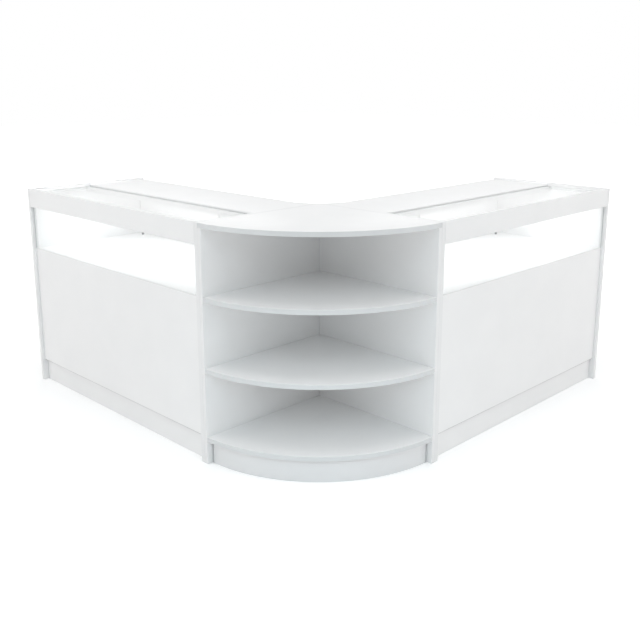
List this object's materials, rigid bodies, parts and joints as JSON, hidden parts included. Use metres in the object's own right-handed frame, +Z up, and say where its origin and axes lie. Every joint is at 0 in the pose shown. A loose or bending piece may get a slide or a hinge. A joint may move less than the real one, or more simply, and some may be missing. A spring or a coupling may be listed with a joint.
{
  "type": "reception desk",
  "caption": "L-shaped white reception desk: straight counters with lit glass displays and sliding rear doors, joined by a quarter-round open-shelf corner.",
  "frame": {"origin": "on the floor, under the middle of the desk's bounding box", "axes": "+X along the right counter away from the corner, +Y along the left counter away from the corner, +Z up"},
  "size_m": [1.845, 1.845, 0.9],
  "materials": {
    "melamine": "white melamine-faced board, satin",
    "glass": "clear toughened, polished edges",
    "aluminium": "anodised satin",
    "chrome": "bright plated",
    "opal": "opal diffuser, lit",
    "grey_plastic": "fine moulded texture",
    "black_plastic": "fine moulded texture"
  },
  "bodies": {
    "desk": {"corner_left_side": "melamine", "corner_right_side": "melamine", "corner_top": "melamine", "corner_upper_shelf": "melamine", "corner_lower_shelf": "melamine", "corner_base": "melamine", "corner_kickboard": "melamine", "corner_infill": "melamine", "left_inner_end": "melamine", "left_outer_end": "melamine", "left_fascia": "melamine", "left_front_panel": "melamine", "left_plinth": "melamine", "left_rear_plinth": "melamine", "left_base_board": "melamine", "left_display_deck": "melamine", "left_worktop": "melamine", "left_worktop_rail": "melamine", "left_glass_ledge": "melamine", "left_centre_divider": "melamine", "left_corner_shelf": "melamine", "left_end_shelf": "melamine", "left_front_glass": "glass", "left_top_glass": "glass", "left_lower_track": "aluminium", "left_upper_track": "aluminium", "left_light_housing": "aluminium", "left_light_diffuser": "opal", "left_light_end": "grey_plastic", "right_inner_end": "melamine", "right_outer_end": "melamine", "right_fascia": "melamine", "right_front_panel": "melamine", "right_plinth": "melamine", "right_rear_plinth": "melamine", "right_base_board": "melamine", "right_display_deck": "melamine", "right_worktop": "melamine", "right_worktop_rail": "melamine", "right_glass_ledge": "melamine", "right_centre_divider": "melamine", "right_corner_shelf": "melamine", "right_end_shelf": "melamine", "right_front_glass": "glass", "right_top_glass": "glass", "right_lower_track": "aluminium", "right_upper_track": "aluminium", "right_light_housing": "aluminium", "right_light_diffuser": "opal", "right_light_end": "grey_plastic"},
    "left_corner_sliding_door": {"left_corner_door": "melamine", "left_lock_body": "chrome"},
    "left_end_sliding_door": {"left_end_door": "melamine"},
    "left_lock": {"left_lock_core": "chrome"},
    "left_rocker": {"left_light_switch": "black_plastic"},
    "right_corner_sliding_door": {"right_corner_door": "melamine", "right_lock_body": "chrome"},
    "right_end_sliding_door": {"right_end_door": "melamine"},
    "right_lock": {"right_lock_core": "chrome"},
    "right_rocker": {"right_light_switch": "black_plastic"}
  },
  "joints": [
    {"name": "left_corner_door_slide", "type": "slide", "parent": "desk", "child": "left_corner_sliding_door", "axis": [0, 1, 0], "range_m": [0, 0.57]},
    {"name": "left_end_door_slide", "type": "slide", "parent": "desk", "child": "left_end_sliding_door", "axis": [0, -1, 0], "range_m": [0, 0.57]},
    {"name": "left_lock_turn", "type": "hinge", "parent": "left_corner_sliding_door", "child": "left_lock", "pos_m": [-0.3315, 0.2995, 0.74925], "axis": [1, 0, 0], "range_deg": [0, 90]},
    {"name": "left_switch_rock", "type": "hinge", "parent": "desk", "child": "left_rocker", "pos_m": [-0.8882, 0.0437, 0.838], "axis": [0, -1, 0], "range_deg": [0, 16]},
    {"name": "right_corner_door_slide", "type": "slide", "parent": "desk", "child": "right_corner_sliding_door", "axis": [1, 0, 0], "range_m": [0, 0.57]},
    {"name": "right_end_door_slide", "type": "slide", "parent": "desk", "child": "right_end_sliding_door", "axis": [-1, 0, 0], "range_m": [0, 0.57]},
    {"name": "right_lock_turn", "type": "hinge", "parent": "right_corner_sliding_door", "child": "right_lock", "pos_m": [0.2995, -0.3315, 0.74925], "axis": [0, 1, 0], "range_deg": [0, 90]},
    {"name": "right_switch_rock", "type": "hinge", "parent": "desk", "child": "right_rocker", "pos_m": [0.0437, -0.8882, 0.838], "axis": [1, 0, 0], "range_deg": [0, 16]}
  ]
}
